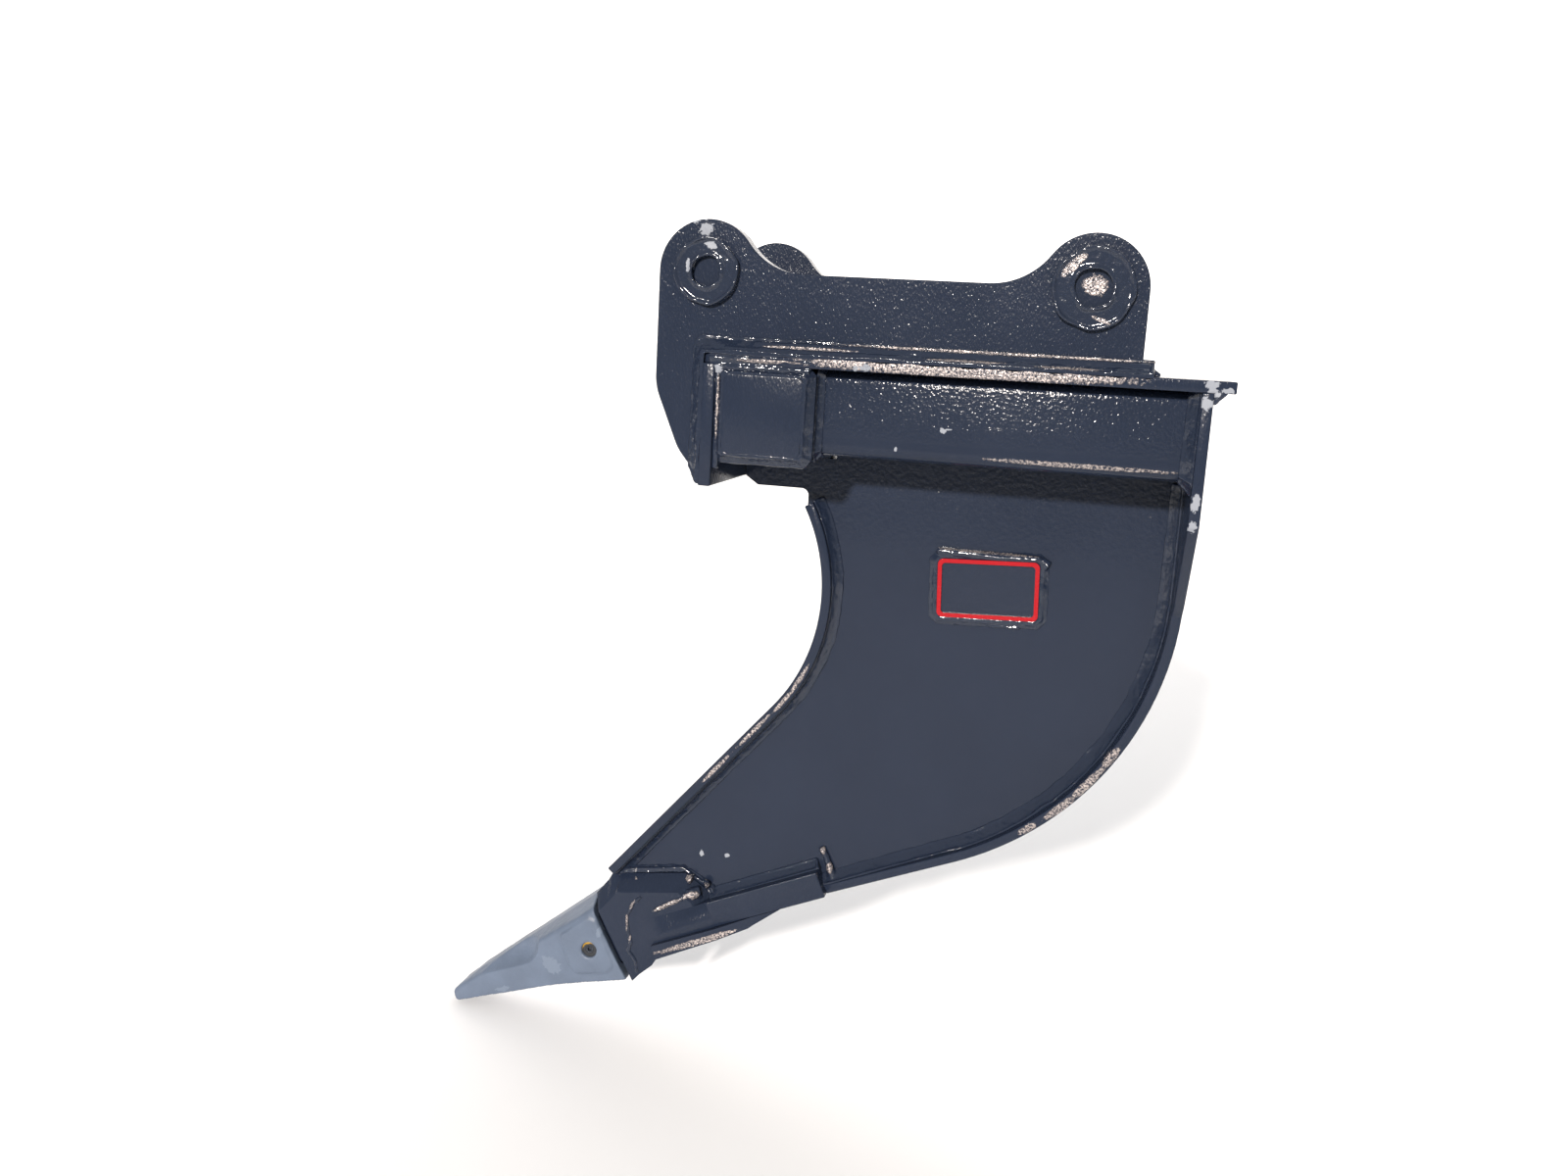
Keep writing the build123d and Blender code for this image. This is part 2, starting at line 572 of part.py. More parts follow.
def lock_keyway():
    """Round pocket where the lock turns, and the groove by which its tongue leaves the nose."""
    x, z = toe(LOCK_U, LOCK_V)
    half = hypot(TONGUE_T, TONGUE_W) / 2 + 2 * LOCK_PLAY
    depth_y = lock_faces()[3] + 2 * LOCK_PLAY
    pocket = slab(Pos(x, z) * Circle(half), depth_y, -ADAPTER_W / 2)
    gap = TONGUE_T / 2 + 2 * LOCK_PLAY
    groove = polygon(toe(LOCK_U, LOCK_V - gap), toe(LOCK_U, LOCK_V + gap),
                     toe(TOOTH_TIP_U, LOCK_V + gap), toe(TOOTH_TIP_U, LOCK_V - gap))
    return pocket + slab(groove, depth_y, -ADAPTER_W / 2)


def sole():
    """Lower leg, wider than the lip plate, drawn in towards its rear tip."""
    back, toe_u = FOOT_U - SOLE_BACK[0], SOLE_U + SOLE_TOE[0]
    side = slab(polygon(toe(SOLE_U, 0), toe(back, 0), toe(back, -SOLE_BACK[1]), toe(toe_u, -SOLE_TOE[1])),
                SOLE_W / 2, -SOLE_W / 2)
    edge = [(SOLE_U, SOLE_TIP_W / 2), (toe_u, SOLE_TOE_W / 2), (LEG_U, SOLE_W / 2), (back, SOLE_W / 2)]
    plan = polygon(*edge, *[(u, -y) for u, y in reversed(edge)])
    return side & extrude(toe_plan() * plan, amount=SOLE_W, both=True)


def adapter():
    body = adapter_body() + sole()
    body += nose(0, COLLAR_U + NOSE_L, COLLAR_U - 2 * COLLAR_LEAN)
    body -= lip_plate()
    return body - lock_keyway()


def toe_weld_left():
    """Heavy weld on the roof of the adapter's upper leg, against the web."""
    roof = leg_roof()
    rise = [(x + TOE_LEG * VX, z + TOE_LEG * VZ) for x, z in roof[2:]]
    tail = [toe(LEG_U - TOE_LEG, LIP_T), toe(LEG_U - TOE_LEG, LIP_T + LEG_HEEL[1])]
    weld = hip(polygon(*tail, *rise, roof[-1], *reversed(roof[:-1])), -WEB_Y, TOE_LEG / 2, 30.0)
    return weld - front_flange() - flange_weld_left() - lip_weld_left()


# ---------------------------------------------------------------- tooth
def tooth_profile():
    """Tooth from the side: a bowed rear edge, a nearly straight top and a slightly hollow sole."""
    tip_v, bevel = TOOTH_TIP_T - TOOTH_TIP_V, TOOTH_TIP_CHAMFER
    rear_top, rear_foot = toe(TOOTH_BACK_U, TOOTH_BACK_V), toe(FOOT_U + TOOTH_GAP + bevel, -TOOTH_FOOT_V)
    sole_mid = toe(TOOTH_TIP_U - TOOTH_SOLE[0], -TOOTH_SOLE[1])
    rear = bowed(rear_foot, rear_top, TOOTH_BACK_BOW)
    top = Polyline(rear_top, toe(TOOTH_TIP_U - TOOTH_BROW[0], TOOTH_BROW[1]), toe(TOOTH_TIP_U - bevel, tip_v),
                   toe(TOOTH_TIP_U, tip_v - bevel), toe(TOOTH_TIP_U, bevel - TOOTH_TIP_V),
                   toe(TOOTH_TIP_U - bevel, -TOOTH_TIP_V), sole_mid)
    return make_face([rear, top, bowed(sole_mid, rear_foot, TOOTH_SOLE_BOW)])


def bowed(start, end, rise):
    """Side-view arc between two points, its middle standing off to the left of the way along it."""
    start, end = Vector(*start), Vector(*end)
    side = (end - start).normalized().rotate(Axis.Z, 90)
    return ThreePointArc(start, (start + end) / 2 + side * rise, end)


def tooth_plan():
    """Tooth from above: parallel at the socket, then drawn in to the tip."""
    half, tip = TOOTH_W / 2, TOOTH_TIP_W / 2
    back, shoulder = FOOT_U - TOOTH_GAP, COLLAR_U + TOOTH_PARALLEL
    plan = polygon((back, half), (shoulder, half), (TOOTH_TIP_U, tip),
                   (TOOTH_TIP_U, -tip), (shoulder, -half), (back, -half))
    return extrude(toe_plan() * plan, amount=2 * TOOTH_W, both=True)


def tooth_roof():
    """Space under the tooth's top: flat in the middle, sloping down beside it."""
    back, brow = (TOOTH_BACK_U, TOOTH_BACK_V), (TOOTH_TIP_U - TOOTH_BROW[0], TOOTH_BROW[1])
    slope = (brow[1] - back[1]) / (brow[0] - back[0])
    start, end = back[0] - TOOTH_W, TOOTH_TIP_U + TOOTH_W
    region = polygon(toe(start, back[1] - slope * TOOTH_W), toe(end, brow[1] + slope * (end - brow[0])),
                     toe(end, -2 * TOOTH_W), toe(start, -2 * TOOTH_W))
    reach = (TOOTH_W - TOOTH_ROOF_W) / 2 + 2 * PAD_T
    side = hip(region, -TOOTH_ROOF_W / 2, reach, TOOTH_ROOF_LEAN)
    return slab(region, TOOTH_ROOF_W / 2, -TOOTH_ROOF_W / 2) + side + to_right(side)


def tooth_scoop():
    """Long hollow in the blade's left shoulder: a round trough with a round rear end."""
    narrowing = (TOOTH_W - TOOTH_TIP_W) / 2 / (TOOTH_TIP_U - COLLAR_U - TOOTH_PARALLEL)
    start_y = TOOTH_TIP_W / 2 + SCOOP_U * narrowing + SCOOP_OUT
    x, z = toe(TOOTH_TIP_U - SCOOP_U, SCOOP_V)
    along = Vector(UX, narrowing, UZ)
    trough = Plane(origin=(x, -start_y, z), z_dir=along) * extrude(Circle(SCOOP_R), amount=2 * SCOOP_U)
    return trough + Pos(x, -start_y, z) * Sphere(SCOOP_R)


def tooth():
    """Cast point: a wedge with a tapered socket, hollow shoulders and the lock's eye on the left."""
    body = slab(tooth_profile(), TOOTH_W / 2, -TOOTH_W / 2)
    body = body & tooth_plan() & tooth_roof()
    shoulder_v = TOOTH_BACK_V - (TOOTH_W - TOOTH_ROOF_W) / 2 * tan(radians(TOOTH_ROOF_LEAN))
    shoulder = toe(TOOTH_BACK_U, shoulder_v)
    ends = [Vector(shoulder[0], side * TOOTH_W / 2, shoulder[1]) for side in (-1, 1)]
    rails = [edge for edge in body.edges() if any(edge.distance_to(end) < TOOTH_BACK_BOW for end in ends)
             and edge.length > PAD_R and abs((edge % 0.5).dot(Vector(UX, 0, UZ))) > 0.8]
    body = fillet(rails, TOOTH_EDGE_R)
    scoop = tooth_scoop()
    body = body - scoop - to_right(scoop)
    body = body + (tooth_pads() & tooth_roof())
    body -= nose(NOSE_CLEARANCE, COLLAR_U + NOSE_L + 2 * NOSE_CLEARANCE, FOOT_U - TOOTH_GAP)
    x, z = toe(LOCK_U, LOCK_V)
    return body - slab(Pos(x, z) * Circle(LOCK_HOLE_D / 2), 0, -TOOTH_W)


def tooth_pads():
    """Raised pads on the socket's sides, tapering forward."""
    back = TOOTH_BACK_U + PAD_T
    front = back + PAD_L
    outline = FilletPolyline(
        toe(back, TOOTH_BACK_V - 1.5 * PAD_R), toe(front, TOOTH_BACK_V - 3 * PAD_R),
        toe(front, -PAD_R), toe(back, -2 * PAD_R), radius=PAD_R, close=True)
    return slab(make_face(outline), TOOTH_FACE, -TOOTH_FACE)


# ---------------------------------------------------------------- tooth lock
def lock_faces():
    """Y of the sleeve's outer face, its inner face, the collar's inner face and the tongue's end."""
    outer = LOCK_RECESS - TOOTH_FACE
    inner = outer + LOCK_SLEEVE_L
    collar = inner + LOCK_PLAY + LOCK_COLLAR_T
    return outer, inner, collar, collar + TONGUE_L


def lock_sleeve():
    """Polymer sleeve that holds the lock in the tooth."""
    x, z = toe(LOCK_U, LOCK_V)
    outer, inner, _, _ = lock_faces()
    ring = Circle(LOCK_HOLE_D / 2 - PIN_CLEARANCE) - Circle(LOCK_STEM_D / 2 + LOCK_PLAY)
    return slab(Pos(x, z) * ring, outer, inner)


def lock_pin():
    """Quarter-turn lock: socket-headed stem, collar behind the sleeve and a flat tongue."""
    x, z = toe(LOCK_U, LOCK_V)
    outer, inner, collar, end = lock_faces()
    stem = slab(Pos(x, z) * Circle(LOCK_STEM_D / 2), outer, collar)
    disc = slab(Pos(x, z) * Circle(LOCK_COLLAR_D / 2), inner + LOCK_PLAY, collar)
    flat = Pos(x, z) * (Rot(0, 0, TOE_ANGLE) * Rectangle(TONGUE_W, TONGUE_T))
    tongue = slab(flat, collar, end)
    drive = slab(Pos(x, z) * RegularPolygon(HEX_AF / 2, 6, major_radius=False), outer, outer + HEX_DEPTH)
    return stem + disc + tongue - drive


# ---------------------------------------------------------------- name plate
def name_plate_place():
    return Location((PLATE_X, 0, PLATE_Z), (0, -PLATE_TURN, 0))


def name_plate():
    """Bare cast plate with a raised rim, its corners rounded."""
    blank = RectangleRounded(PLATE_W, PLATE_H, PLATE_R)
    rim = blank - RectangleRounded(PLATE_W - 2 * PLATE_RIM_W, PLATE_H - 2 * PLATE_RIM_W,
                                   PLATE_R - PLATE_RIM_W / 2)
    base = slab(blank, -WEB_Y, -WEB_Y - PLATE_T)
    raised = slab(rim, -WEB_Y - PLATE_T, -WEB_Y - PLATE_T - PLATE_RIM_H)
    return name_plate_place() * (base + raised)


def name_plate_weld():
    """Weld all round the name plate, on the web."""
    spread = cut_corners(PLATE_W + 2 * PLATE_LEG, PLATE_H + 2 * PLATE_LEG, PLATE_LEG)
    bead = hip(spread, -WEB_Y, PLATE_BEAD_H, 60.0)
    hole = slab(RectangleRounded(PLATE_W, PLATE_H, PLATE_R), -WEB_Y, -WEB_Y - 2 * PLATE_BEAD_H)
    return name_plate_place() * (bead - hole)


# ---------------------------------------------------------------- write the pieces
def pieces():
    """Every piece by its node name; the left ones are also mirrored to the right."""
    both_sides = {
        "ear": ear_left(),
        "front_pin_weld": pin_ring_left(0, FRONT_RING),
        "rear_pin_weld": pin_ring_left(PIN_SPACING, REAR_RING),
        "ear_weld": ear_weld_left(),
        "tube_cap": tube_cap_left(),
        "cap_weld": cap_weld_left(),
        "side_tube": side_tube_left(),
        "tube_weld": tube_weld_left(),
        "flange_weld": flange_weld_left(),
        "strap_weld": strap_weld_left(),
        "lip_weld": lip_weld_left(),
        "toe_weld": toe_weld_left(),
    }
    found = {
        "front_pin": coupler_pin(0),
        "rear_pin": coupler_pin(PIN_SPACING),
        "top_plate": top_plate(),
        "front_plate": front_plate(),
        "cross_tube": cross_tube(),
        "deck_weld": deck_weld(),
        "back_strap": back_strap(),
        "web": web(),
        "front_flange": front_flange(),
        "lip_plate": lip_plate(),
        "adapter": adapter(),
        "name_plate": name_plate(),
        "name_plate_weld": name_plate_weld(),
        "tooth": tooth(),
        "lock_sleeve": lock_sleeve(),
        "lock_pin": lock_pin(),
    }
    for name, shape in both_sides.items():
        found[name + "_left"] = shape
        found[name + "_right"] = to_right(shape)
    return found


os.makedirs("parts", exist_ok=True)
for name, shape in pieces().items():
    solids = shape.solids()
    whole = solids[0] if len(solids) == 1 else Compound(children=list(solids))
    export_step(whole, os.path.join("parts", name + ".step"))
    print(name, len(solids), round(whole.volume))
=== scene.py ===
import math
import bmesh
import bpy
from mathutils import Euler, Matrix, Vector, noise


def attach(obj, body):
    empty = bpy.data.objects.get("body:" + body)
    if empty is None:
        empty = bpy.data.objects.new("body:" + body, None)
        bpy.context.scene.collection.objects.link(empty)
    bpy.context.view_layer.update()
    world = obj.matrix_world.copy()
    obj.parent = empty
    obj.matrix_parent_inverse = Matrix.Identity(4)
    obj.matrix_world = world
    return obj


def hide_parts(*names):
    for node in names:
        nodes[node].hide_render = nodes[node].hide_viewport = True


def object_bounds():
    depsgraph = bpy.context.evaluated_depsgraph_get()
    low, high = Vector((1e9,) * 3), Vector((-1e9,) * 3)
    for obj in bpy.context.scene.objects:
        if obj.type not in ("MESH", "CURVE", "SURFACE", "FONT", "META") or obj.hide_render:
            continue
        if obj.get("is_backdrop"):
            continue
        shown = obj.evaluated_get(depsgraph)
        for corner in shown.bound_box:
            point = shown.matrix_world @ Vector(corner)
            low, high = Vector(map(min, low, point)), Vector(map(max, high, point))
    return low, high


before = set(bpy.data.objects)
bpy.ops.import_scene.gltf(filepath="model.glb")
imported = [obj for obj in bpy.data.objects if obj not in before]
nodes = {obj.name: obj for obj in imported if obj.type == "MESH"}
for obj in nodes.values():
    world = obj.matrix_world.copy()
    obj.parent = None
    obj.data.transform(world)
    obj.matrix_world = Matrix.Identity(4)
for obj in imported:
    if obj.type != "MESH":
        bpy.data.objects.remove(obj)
cad_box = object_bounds()
MM = 0.001

# The toe's own axes in the side view: forward along the lip plate, and up from its sole.
FOOT = Vector((0.15984, 0, -0.78181))
FORWARD = Vector((-0.9135, 0, -0.4067))
UPWARD = Vector((-0.4067, 0, 0.9135))
# Along them in millimetres: the lip plate's thickness and length, and the end of the adapter's upper leg.
LIP_T = 35
LIP_L = 275
LEG_U = 160
# Length over which a weld's toe wanders from its line and back, in millimetres.
TOE_WANDER = 18


# ---------------------------------------------------------------- mesh helpers
def merged_copy(name):
    """A CAD piece's triangles as one bmesh, joined where they meet, its flat faces whole again."""
    bm = bmesh.new()
    bm.from_mesh(nodes[name].data)
    bmesh.ops.remove_doubles(bm, verts=bm.verts, dist=0.01 * MM)
    bmesh.ops.recalc_face_normals(bm, faces=bm.faces)
    bmesh.ops.dissolve_limit(bm, angle_limit=math.radians(0.5), verts=bm.verts, edges=bm.edges)
    return bm


def sharp_edges(bm, degrees):
    """Edges whose two faces meet at more than an angle."""
    return [e for e in bm.edges if len(e.link_faces) == 2 and e.calc_face_angle(0) > math.radians(degrees)]


def finish(bm, name, material, node, body="ripper", sharp=35):
    """Turn a bmesh into a piece that rides on its body, and hide the CAD node it stands for."""
    low, high = cad_box
    for vert in bm.verts:
        vert.co = [min(max(c, a), b) for c, a, b in zip(vert.co, low, high)]
    mesh = bpy.data.meshes.new(name)
    bm.to_mesh(mesh)
    bm.free()
    mesh.shade_smooth()
    mesh.set_sharp_from_angle(angle=math.radians(sharp))
    piece = bpy.data.objects.new(name, mesh)
    bpy.context.scene.collection.objects.link(piece)
    mesh.materials.append(material)
    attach(piece, body)
    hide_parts(node)


def voxelled(bm, size):
    """The same closed form, its overlapping shells melted into one, as an even net of quads."""
    bmesh.ops.triangulate(bm, faces=bm.faces)
    mesh = bpy.data.meshes.new("raw")
    bm.to_mesh(mesh)
    bm.free()
    holder = bpy.data.objects.new("raw", mesh)
    bpy.context.scene.collection.objects.link(holder)
    remesh = holder.modifiers.new("even", "REMESH")
    remesh.mode = "VOXEL"
    remesh.voxel_size = size * MM
    ready = holder.evaluated_get(bpy.context.evaluated_depsgraph_get())
    even = bmesh.new()
    even.from_mesh(ready.to_mesh())
    ready.to_mesh_clear()
    bpy.data.objects.remove(holder)
    bpy.data.meshes.remove(mesh)
    return even


def relax(bm, rounds):
    """Let a skin draw itself smooth, as metal does before it sets."""
    for _ in range(rounds):
        bmesh.ops.smooth_vert(bm, verts=bm.verts, factor=0.5,
                              use_axis_x=True, use_axis_y=True, use_axis_z=True)


def ruffle(bm, depth, size, seed=0.0, swell=0.0):
    """Move each point in or out by smooth noise of a depth and size in millimetres."""
    bm.normal_update()
    shift = Vector((seed, 2 * seed, 3 * seed))
    moves = [vert.normal * (swell + depth * noise.noise(vert.co / (size * MM) + shift)) * MM
             for vert in bm.verts]
    for vert, move in zip(bm.verts, moves):
        vert.co += move


def rods(bm, lines):
    """Add round runs of weld metal along lines of (x, y, z, radius) points, in millimetres."""
    data = bpy.data.curves.new("rods", "CURVE")
    data.dimensions = "3D"
    data.bevel_depth = MM
    data.bevel_resolution = 1
    data.use_fill_caps = True
    for line in lines:
        spline = data.splines.new("POLY")
        spline.points.add(len(line) - 1)
        for point, (x, y, z, radius) in zip(spline.points, line):
            point.co = (x * MM, y * MM, z * MM, 1)
            point.radius = radius
    holder = bpy.data.objects.new("rods", data)
    mesh = bpy.data.meshes.new_from_object(holder)
    bm.from_mesh(mesh)
    bpy.data.objects.remove(holder)
    bpy.data.curves.remove(data)
    bpy.data.meshes.remove(mesh)


def drift(place):
    """Smooth wandering vector, the same on every run, which mathutils' noise_vector isn't."""
    starts = Vector((9.3, -1.5, -7.9)), Vector((0, 0, 0)), Vector((-6.3, 0.2, -2.7))
    return Vector([noise.noise(place + start) for start in starts])


def on_side(sign, lines):
    """Weld passes given for the right side, or the same on the left one where the sign is -1."""
    return [[(x, sign * y, z, radius) for x, y, z, radius in line] for line in lines]


def bead(name, material, roll=1.8, voxel=1.3, rounds=1, depth=0.7, size=14.0, seed=0.0, runs=()):
    """A weld's plain wedge made into a run of molten metal, with a thin roll along its toes.

    roll is the radius of the toes' roll, which wanders by as much; voxel is the net's size and rounds is
    how often it is smoothed; depth and size are those of the ripples. runs are further passes, as
    lines for rods.
    """
    bm = merged_copy(name)
    toes = []
    for edge in sharp_edges(bm, 25):
        ends = [vert.co / MM for vert in edge.verts]
        toes.append([(*(end + drift(end / TOE_WANDER) * roll), roll) for end in ends])
    rods(bm, toes + list(runs))
    even = voxelled(bm, voxel)
    relax(even, rounds)
    ruffle(even, depth, size, seed, swell=0.15)
    ruffle(even, depth * 0.3, size * 0.35, seed)
    relax(even, 1)
    finish(even, name + "_run", material, name, sharp=180)


def eased(name, material, width=1.5, skip=None, change=None, sharp=30):
    """A plate or tube with its sharp edges eased, so that they catch the light.

    width is the bevel's, and sharp the angle from which an edge gets one; change reshapes the piece
    first, and skip tells which edges stay as they are.
    """
    bm = merged_copy(name)
    if change:
        change(bm)
    hard = [e for e in sharp_edges(bm, sharp) if not (skip and skip(e))]
    bmesh.ops.bevel(bm, geom=hard, offset=width * MM, segments=3, profile=0.5, affect="EDGES",
                    material=-1, clamp_overlap=True)
    finish(bm, name + "_steel", material, name)


def toe_uv(co):
    """Where a point lies along and above the lip plate's sole, in millimetres."""
    away = co - FOOT
    return away.dot(FORWARD) / MM, away.dot(UPWARD) / MM


# ---------------------------------------------------------------- colours and shader nodes
def srgb(code):
    """Linear colour of an sRGB hex value."""
    parts = [int(code[i:i + 2], 16) / 255 for i in (1, 3, 5)]
    return [p / 12.92 if p <= 0.04045 else ((p + 0.055) / 1.055) ** 2.4 for p in parts] + [1.0]


def add(tree, kind, links=None, **settings):
    """A shader node with its settings and inputs; a link is an output socket, anything else a value."""
    node = tree.nodes.new(kind)
    for key, value in settings.items():
        setattr(node, key, value)
    for key, value in (links or {}).items():
        socket = node.inputs[key]
        if isinstance(value, bpy.types.NodeSocket):
            tree.links.new(value, socket)
        else:
            socket.default_value = value
    return node


def per_mm(mm):
    """Noise scale that gives features of a size in millimetres."""
    return 1.0 / (mm * MM)


def spots(tree, place, patches, ragged=1.6):
    """Mask of ragged patches, each given by its centre and radii in millimetres and its turn about Y."""
    tear = add(tree, "ShaderNodeTexNoise", {
        "Vector": place, "Scale": per_mm(5.0), "Detail": 4.0}).outputs["Fac"]
    total = None
    for centre, radii, *turn in patches:
        local = add(tree, "ShaderNodeMapping", {
            "Vector": place, "Location": [c * MM for c in centre], "Scale": [r * MM for r in radii],
            "Rotation": (0, math.radians(sum(turn)), 0)}, vector_type="TEXTURE").outputs["Vector"]
        reach = add(tree, "ShaderNodeVectorMath", {0: local}, operation="LENGTH").outputs["Value"]
        edge = add(tree, "ShaderNodeMath", {
            0: tear, 1: ragged, 2: reach}, operation="MULTIPLY_ADD").outputs[0]
        mask = add(tree, "ShaderNodeMapRange", {
            "Value": edge, "From Min": 0.5 * ragged + 1.0, "From Max": 0.5 * ragged + 0.85}).outputs["Result"]
        total = mask if total is None else add(
            tree, "ShaderNodeMath", {0: total, 1: mask}, operation="MAXIMUM").outputs[0]
    return total


def blend(tree, kind, mask, under, over):
    """Under where the mask is 0, over where it is 1; kind is RGBA or FLOAT."""
    mix = add(tree, "ShaderNodeMix", data_type=kind)
    sockets = [s for s in mix.inputs if s.enabled]
    for socket, value in zip(sockets, (mask, under, over)):
        if isinstance(value, bpy.types.NodeSocket):
            tree.links.new(value, socket)
        else:
            socket.default_value = value
    return [s for s in mix.outputs if s.enabled][0]


def new_material(name):
    """A material with its node tree, its surface shader and its Object coordinates."""
    material = bpy.data.materials.new(name)
    material.use_nodes = True
    tree = material.node_tree
    return material, tree, tree.nodes["Principled BSDF"], add(tree, "ShaderNodeTexCoord").outputs["Object"]


def clouded(tree, place, colour, size=140, swing=0.12):
    """A colour that drifts slightly lighter and darker over the piece, and the cloud it follows."""
    cloud = add(tree, "ShaderNodeTexNoise", {
        "Vector": place, "Scale": per_mm(size), "Detail": 4.0}).outputs["Fac"]
    base = srgb(colour)
    tone = add(tree, "ShaderNodeValToRGB", {"Fac": cloud})
    for element, position, gain in zip(tone.color_ramp.elements, (0.3, 0.7), (1 - swing, 1 + swing)):
        element.position = position
        element.color = [c * gain for c in base[:3]] + [1]
    return tone.outputs["Color"], cloud


GLOSS = "#1F2737"
PRIMER = "#8C919A"
# Pale steel colour of the painted highlights on cut edges, weld crowns and the rear pin's end.
PAINTED_HIGHLIGHT_STEEL = "#C8BDB8"


def paint(name, peel=0.35, grain=3.0, slant=28, rough=0.16, gloss=0.3, fade=None, primer=(), painted_highlights=()):
    """Two-pack gloss sprayed over blasted steel: a deep sheen that orange peel breaks into glints.

    peel is the relief's depth and grain its size; fade gives the heights, low and high, between
    which it grows to full depth. primer patches are rubbed through to pale primer. The highlight
    patches are painted highlights: a pale steel colour, made metallic, rougher and scored, laid on
    cut edges and weld crowns where glints fall.
    """
    material, tree, shader, place = new_material(name)
    surface, cloud = clouded(tree, place, GLOSS, swing=0.05)
    sheen = add(tree, "ShaderNodeMapRange", {
        "Value": cloud, "From Min": 0.3, "From Max": 0.7,
        "To Min": rough * 0.85, "To Max": rough * 1.15}).outputs["Result"]
    flow = add(tree, "ShaderNodeMapping", {"Vector": place, "Rotation": (0, math.radians(-slant), 0),
                                           "Scale": (1.4, 1, 0.6) if slant else (1, 1, 1)}).outputs["Vector"]
    height = add(tree, "ShaderNodeTexNoise", {"Vector": flow, "Scale": per_mm(grain), "Detail": 2.0,
                                              "Roughness": 0.45}).outputs["Fac"]
    if fade:
        level = add(tree, "ShaderNodeSeparateXYZ", {"Vector": place}).outputs["Z"]
        grown = add(tree, "ShaderNodeMapRange", {
            "Value": level, "From Min": fade[0] * MM, "From Max": fade[1] * MM,
            "To Min": 0.06}).outputs["Result"]
        height = add(tree, "ShaderNodeMath", {0: height, 1: grown}, operation="MULTIPLY").outputs[0]
    relief = add(tree, "ShaderNodeBump", {"Height": height, "Strength": 1.0,
                                          "Distance": peel * MM}).outputs["Normal"]
    # Painted highlights: inside the listed patches the colour turns to pale steel, made metallic, rougher and
    # scored, standing in for glints.
    if painted_highlights:
        highlight_patch_mask = spots(tree, place, painted_highlights, ragged=0.9)
        drag = add(tree, "ShaderNodeTexNoise", {"Vector": place, "Scale": per_mm(2.4), "Detail": 3.0,
                                                "Distortion": 0.5}).outputs["Fac"]
        scored = add(tree, "ShaderNodeMath", {0: drag, 1: highlight_patch_mask}, operation="MULTIPLY").outputs[0]
        relief = add(tree, "ShaderNodeBump", {"Height": scored, "Strength": 1.0, "Distance": 1.2 * MM,
                                              "Normal": relief}).outputs["Normal"]
        # Speckled mask of the painted highlight, where the drag noise is high inside the patches.
        highlight_speck = add(tree, "ShaderNodeMapRange", {
            "Value": drag, "From Min": 0.38, "From Max": 0.7}).outputs["Result"]
        painted_highlight_mask = add(tree, "ShaderNodeMath", {0: highlight_speck, 1: highlight_patch_mask}, operation="MULTIPLY").outputs[0]
        surface = blend(tree, "RGBA", painted_highlight_mask, surface, srgb(PAINTED_HIGHLIGHT_STEEL))
        sheen = blend(tree, "FLOAT", painted_highlight_mask, sheen, 0.42)
        tree.links.new(painted_highlight_mask, shader.inputs["Metallic"])
    if primer:
        worn = spots(tree, place, primer, ragged=2.6)
        surface = blend(tree, "RGBA", worn, surface, srgb(PRIMER))
        sheen = blend(tree, "FLOAT", worn, sheen, 0.6)
    tree.links.new(surface, shader.inputs["Base Color"])
    tree.links.new(sheen, shader.inputs["Roughness"])
    tree.links.new(relief, shader.inputs["Normal"])
    shader.inputs["IOR"].default_value = 1.5
    shader.inputs["Specular IOR Level"].default_value = gloss
    return material


def cast_satin(name):
    """Grey-blue satin paint on a rough steel casting: soft, slightly chalky, scuffed pale on its ridges."""
    material, tree, shader, place = new_material(name)
    surface, cloud = clouded(tree, place, "#596577", size=45, swing=0.1)
    scuff = spots(tree, place, TOOTH_SCUFFS, ragged=1.8)
    surface = blend(tree, "RGBA", scuff, surface, srgb("#667283"))
    grit = add(tree, "ShaderNodeTexNoise", {
        "Vector": place, "Scale": per_mm(2.5), "Detail": 3.0}).outputs["Fac"]
    pits = add(tree, "ShaderNodeTexNoise", {
        "Vector": place, "Scale": per_mm(14.0), "Detail": 3.0}).outputs["Fac"]
    relief = add(tree, "ShaderNodeBump", {
        "Height": pits, "Strength": 1.0, "Distance": 1.2 * MM}).outputs["Normal"]
    relief = add(tree, "ShaderNodeBump", {"Height": grit, "Strength": 1.0, "Distance": 0.25 * MM,
                                          "Normal": relief}).outputs["Normal"]
    tree.links.new(surface, shader.inputs["Base Color"])
    tree.links.new(relief, shader.inputs["Normal"])
    shader.inputs["Roughness"].default_value = 0.42
    shader.inputs["IOR"].default_value = 1.5
    shader.inputs["Specular IOR Level"].default_value = 0.4
    return material


def badge_enamel(name):
    """Gloss enamel on a cast plate: the raised rim picked out in red, the field in the frame's colour."""
    material, tree, shader, place = new_material(name)
    depth = add(tree, "ShaderNodeSeparateXYZ", {"Vector": place}).outputs["Y"]
    rim = add(tree, "ShaderNodeMapRange", {
        "Value": depth, "From Min": -28.9 * MM, "From Max": -29.4 * MM}).outputs["Result"]
    dust = add(tree, "ShaderNodeTexNoise", {
        "Vector": place, "Scale": per_mm(3.0), "Detail": 3.0}).outputs["Fac"]
    tree.links.new(blend(tree, "RGBA", rim, srgb(GLOSS), srgb("#A00E19")), shader.inputs["Base Color"])
    relief = add(tree, "ShaderNodeBump", {
        "Height": dust, "Strength": 1.0, "Distance": 0.25 * MM}).outputs["Normal"]
    tree.links.new(relief, shader.inputs["Normal"])
    shader.inputs["Roughness"].default_value = 0.18
    shader.inputs["Specular IOR Level"].default_value = 0.35
    return material


